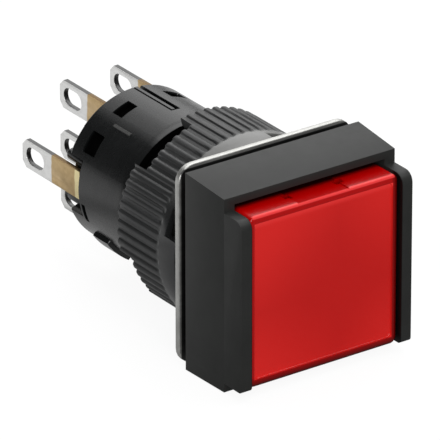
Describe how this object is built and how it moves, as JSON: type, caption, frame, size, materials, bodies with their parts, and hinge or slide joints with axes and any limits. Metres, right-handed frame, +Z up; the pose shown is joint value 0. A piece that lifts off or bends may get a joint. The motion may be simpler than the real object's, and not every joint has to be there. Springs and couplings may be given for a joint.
{
  "type": "self locking push switch",
  "caption": "Panel push switch that locks when pressed: square lit head on a threaded barrel, clamp plate, ribbed nut and flat rear terminals.",
  "frame": {"origin": "on the barrel's axis at the back face of the square head, where it meets the panel", "axes": "+Y along the barrel from the head to the terminals, so the button faces -Y; +Z up; +X to the right seen from the front"},
  "size_m": [0.0176, 0.0349, 0.0182],
  "materials": {
    "black_head": "satin black moulding",
    "black_body": "satin black moulding",
    "black_nut": "satin black moulding",
    "gasket_rubber": "matt black",
    "plated_steel": "plated sheet, satin",
    "red_lens": "translucent red, semi-gloss",
    "white_diffuser": "translucent white",
    "grey_plunger": "satin grey moulding",
    "tinned_brass": "brass with tinned tips",
    "contact_brass": "bare brass",
    "spring_steel": "drawn wire",
    "lamp_glass": "clear red epoxy"
  },
  "bodies": {
    "housing": {"bezel_housing": "black_head", "panel_gasket": "gasket_rubber", "guide_sleeve": "black_body", "switch_body": "black_body", "lamp_socket": "black_body", "led_lamp": "lamp_glass", "latch_spring": "spring_steel", "return_spring": "spring_steel", "terminal_nc_left": "tinned_brass", "terminal_com_left": "tinned_brass", "terminal_no_left": "tinned_brass", "terminal_nc_right": "tinned_brass", "terminal_com_right": "tinned_brass", "terminal_no_right": "tinned_brass", "lamp_terminal_left": "tinned_brass", "lamp_terminal_right": "tinned_brass"},
    "button": {"lens_cap": "red_lens", "legend_plate": "white_diffuser", "plunger": "grey_plunger", "contact_slider": "grey_plunger"},
    "clamp_plate": {"clamp_plate": "plated_steel"},
    "mounting_nut": {"mounting_nut": "black_nut"},
    "latch_pin": {"latch_pin": "spring_steel"},
    "rocker_left": {"contact_rocker_left": "contact_brass"},
    "rocker_right": {"contact_rocker_right": "contact_brass"}
  },
  "joints": [
    {"name": "button_press", "type": "slide", "parent": "housing", "child": "button", "axis": [0, 1, 0], "range_m": [0, 0.0026], "stiffness_N_per_m": 500, "springref_m": -0.003, "deforming": ["return_spring"]},
    {"name": "plate_slide", "type": "slide", "parent": "housing", "child": "clamp_plate", "axis": [0, 1, 0], "range_m": [0, 0.00597]},
    {"name": "nut_turn", "type": "hinge", "parent": "clamp_plate", "child": "mounting_nut", "pos_m": [0, 0.006, 0], "axis": [0, 1, 0], "range_deg": [0, 2150]},
    {"name": "latch_swing", "type": "hinge", "parent": "housing", "child": "latch_pin", "pos_m": [0, 0.009, -0.00565], "axis": [0, 0, 1], "range_deg": [0, 11]},
    {"name": "rocker_tilt_left", "type": "hinge", "parent": "housing", "child": "rocker_left", "pos_m": [-0.0026, 0.0158, 0], "axis": [1, 0, 0], "range_deg": [0, 14]},
    {"name": "rocker_tilt_right", "type": "hinge", "parent": "housing", "child": "rocker_right", "pos_m": [0.0026, 0.0158, 0], "axis": [1, 0, 0], "range_deg": [0, 14]}
  ],
  "couplings": [
    {"joint": "nut_turn", "follows": "plate_slide", "rad_per_m": 6283.2},
    {"joint": "latch_swing", "follows": "button_press", "rad_per_m": 73.8},
    {"joint": "rocker_tilt_left", "follows": "button_press", "rad_per_m": 93.9},
    {"joint": "rocker_tilt_right", "follows": "button_press", "rad_per_m": 93.9}
  ]
}
